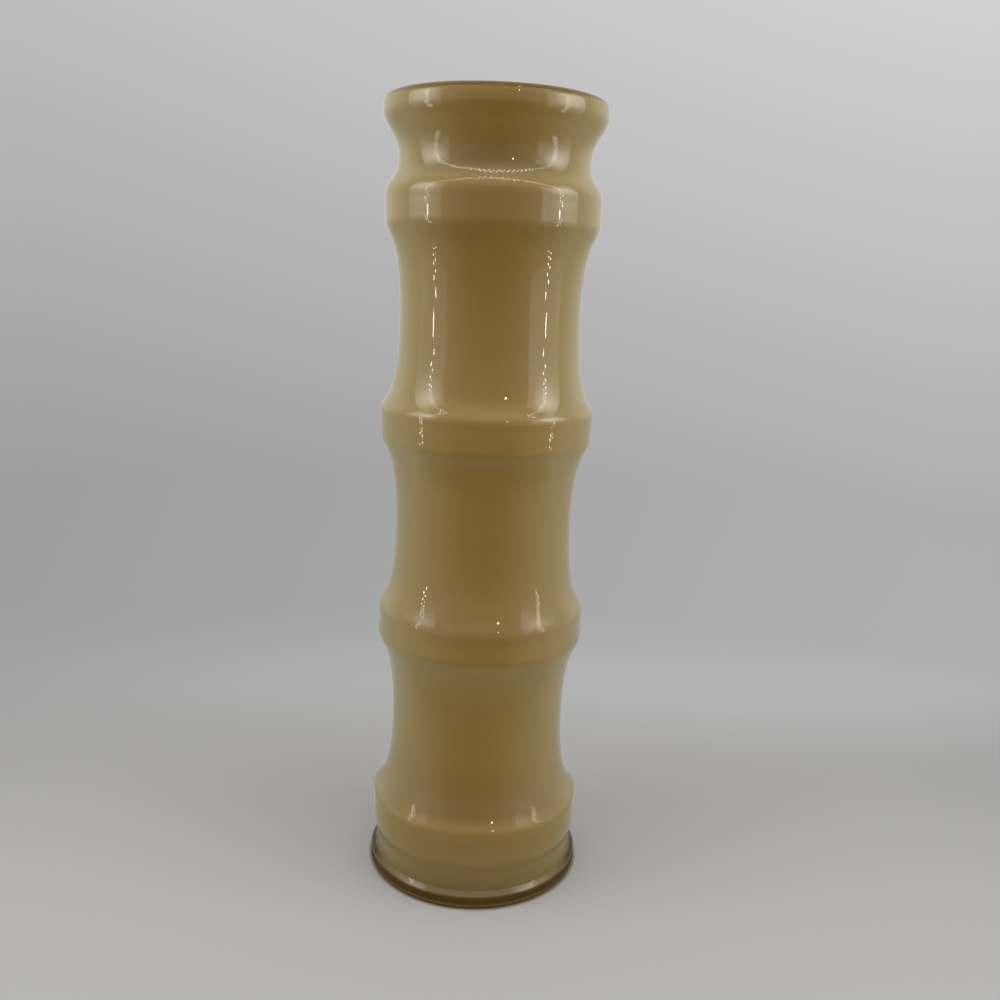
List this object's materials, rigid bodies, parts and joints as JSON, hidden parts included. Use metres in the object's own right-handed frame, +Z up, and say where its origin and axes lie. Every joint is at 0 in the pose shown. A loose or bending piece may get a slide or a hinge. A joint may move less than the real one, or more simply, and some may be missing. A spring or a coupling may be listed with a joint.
{
  "type": "cased glass vase",
  "caption": "Tall round flower vase shaped as a bamboo stem, in amber glass cased over an opal lining, with a flared lip and a solid glass foot.",
  "frame": {"origin": "centre of the foot, on the plane it stands on", "axes": "+Z up along the vase's axis; X and Y are any two directions across it, because the vase is round"},
  "size_m": [0.0712, 0.0712, 0.25],
  "materials": {
    "amber_glass": "fire-polished, clear amber",
    "opal_glass": "fire-polished, warm cream opal"
  },
  "bodies": {
    "root": {"amber_casing": "amber_glass", "opal_lining": "opal_glass", "amber_foot": "amber_glass"}
  },
  "joints": []
}
